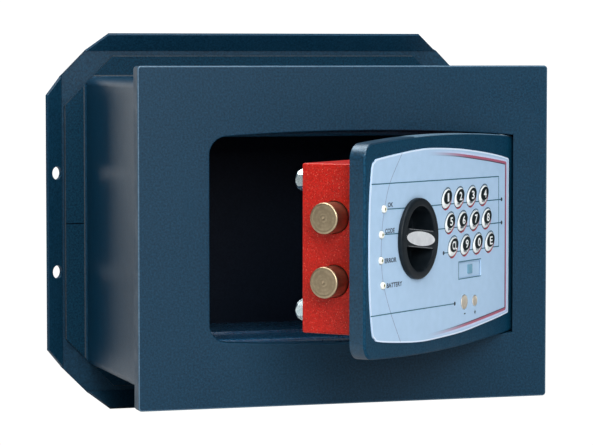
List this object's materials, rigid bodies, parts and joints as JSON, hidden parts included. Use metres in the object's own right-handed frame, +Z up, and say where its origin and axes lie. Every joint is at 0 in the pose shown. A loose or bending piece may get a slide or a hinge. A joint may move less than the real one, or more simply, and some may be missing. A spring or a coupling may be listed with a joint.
{
  "type": "wall safe",
  "caption": "Steel wall safe with a hinged plate door, electronic keypad, turn knob, sliding lock bolts in a red bolt box, and a rear plate with bent anchoring wings.",
  "frame": {"origin": "centre of the rear plate's back face", "axes": "+Y into the wall, out of the rear plate; +Z up; +X to the right seen from the front"},
  "size_m": [0.3496, 0.3552, 0.2886],
  "materials": {
    "slate_paint": "fine-grained slate-blue powder coat",
    "door_paint": "fine-grained teal-blue powder coat",
    "red_paint": "glossy red paint with an orange-peel surface",
    "nickel": "turned and nickel plated",
    "zinc": "bright zinc plated",
    "steel": "plain machined steel",
    "brass": "dull brass",
    "label_plastic": "printed pale blue polyester film",
    "black_plastic": "fine-textured black",
    "badge": "satin silver",
    "white_plastic": "moulded white",
    "lamp_plastic": "milky white lens",
    "board": "green solder mask",
    "cell_wrap": "printed sleeve"
  },
  "bodies": {
    "safe": {"front_plate": "slate_paint", "hinge_pin_top": "steel", "hinge_pin_bottom": "steel", "body_shell": "slate_paint", "rear_plate": "slate_paint", "door_stop_top": "slate_paint", "door_stop_bottom": "slate_paint", "bolt_keeper": "steel"},
    "door": {"door_plate": "door_paint", "control_label": "label_plastic", "lamp_ok": "lamp_plastic", "lamp_code": "lamp_plastic", "lamp_error": "lamp_plastic", "lamp_battery": "lamp_plastic", "battery_contact_minus": "brass", "battery_contact_plus": "brass", "emergency_lock": "brass", "key_board": "board", "bolt_box": "red_paint", "post_1": "steel", "post_2": "steel", "post_3": "steel", "post_4": "steel", "hex_bolt_1": "zinc", "hex_bolt_2": "zinc", "hex_bolt_3": "zinc", "hex_bolt_4": "zinc", "lock_chassis": "steel", "solenoid": "steel", "control_board": "board", "battery_tray": "black_plastic", "cell_1": "cell_wrap", "cell_2": "cell_wrap"},
    "turn_knob": {"knob": "black_plastic", "knob_badge": "badge", "spindle": "steel", "cam": "steel"},
    "bolt_work": {"bolt_carriage": "steel", "bolt_upper": "nickel", "bolt_lower": "nickel"},
    "plunger": {"solenoid_plunger": "zinc"},
    "cover": {"keyhole_cover": "label_plastic"},
    "button_1": {"key_1": "white_plastic"},
    "button_2": {"key_2": "white_plastic"},
    "button_3": {"key_3": "white_plastic"},
    "button_4": {"key_4": "white_plastic"},
    "button_5": {"key_5": "white_plastic"},
    "button_6": {"key_6": "white_plastic"},
    "button_7": {"key_7": "white_plastic"},
    "button_8": {"key_8": "white_plastic"},
    "button_clear": {"key_clear": "white_plastic"},
    "button_9": {"key_9": "white_plastic"},
    "button_0": {"key_0": "white_plastic"},
    "button_enter": {"key_enter": "white_plastic"}
  },
  "joints": [
    {"name": "door_hinge", "type": "hinge", "parent": "safe", "child": "door", "pos_m": [0.1187, -0.202, 0], "axis": [0, 0, 1], "range_deg": [-43, 47]},
    {"name": "knob_turn", "type": "hinge", "parent": "door", "child": "turn_knob", "pos_m": [0.01543, -0.30651, 0.0039], "axis": [0.682, -0.7314, 0], "range_deg": [0, 90]},
    {"name": "bolt_throw", "type": "slide", "parent": "door", "child": "bolt_work", "axis": [-0.7314, -0.682, 0], "range_m": [0, 0.017]},
    {"name": "plunger_lift", "type": "slide", "parent": "door", "child": "plunger", "axis": [0, 0, 1], "range_m": [0, 0.0045]},
    {"name": "cover_slide", "type": "slide", "parent": "door", "child": "cover", "axis": [0.7314, 0.682, 0], "range_m": [0, 0.013]},
    {"name": "press_1", "type": "slide", "parent": "door", "child": "button_1", "axis": [-0.682, 0.7314, 0], "range_m": [0, 0.0008], "stiffness_N_per_m": 300},
    {"name": "press_2", "type": "slide", "parent": "door", "child": "button_2", "axis": [-0.682, 0.7314, 0], "range_m": [0, 0.0008], "stiffness_N_per_m": 300},
    {"name": "press_3", "type": "slide", "parent": "door", "child": "button_3", "axis": [-0.682, 0.7314, 0], "range_m": [0, 0.0008], "stiffness_N_per_m": 300},
    {"name": "press_4", "type": "slide", "parent": "door", "child": "button_4", "axis": [-0.682, 0.7314, 0], "range_m": [0, 0.0008], "stiffness_N_per_m": 300},
    {"name": "press_5", "type": "slide", "parent": "door", "child": "button_5", "axis": [-0.682, 0.7314, 0], "range_m": [0, 0.0008], "stiffness_N_per_m": 300},
    {"name": "press_6", "type": "slide", "parent": "door", "child": "button_6", "axis": [-0.682, 0.7314, 0], "range_m": [0, 0.0008], "stiffness_N_per_m": 300},
    {"name": "press_7", "type": "slide", "parent": "door", "child": "button_7", "axis": [-0.682, 0.7314, 0], "range_m": [0, 0.0008], "stiffness_N_per_m": 300},
    {"name": "press_8", "type": "slide", "parent": "door", "child": "button_8", "axis": [-0.682, 0.7314, 0], "range_m": [0, 0.0008], "stiffness_N_per_m": 300},
    {"name": "press_clear", "type": "slide", "parent": "door", "child": "button_clear", "axis": [-0.682, 0.7314, 0], "range_m": [0, 0.0008], "stiffness_N_per_m": 300},
    {"name": "press_9", "type": "slide", "parent": "door", "child": "button_9", "axis": [-0.682, 0.7314, 0], "range_m": [0, 0.0008], "stiffness_N_per_m": 300},
    {"name": "press_0", "type": "slide", "parent": "door", "child": "button_0", "axis": [-0.682, 0.7314, 0], "range_m": [0, 0.0008], "stiffness_N_per_m": 300},
    {"name": "press_enter", "type": "slide", "parent": "door", "child": "button_enter", "axis": [-0.682, 0.7314, 0], "range_m": [0, 0.0008], "stiffness_N_per_m": 300}
  ],
  "couplings": [
    {"joint": "knob_turn", "follows": "bolt_throw", "rad_per_m": 92.4}
  ]
}
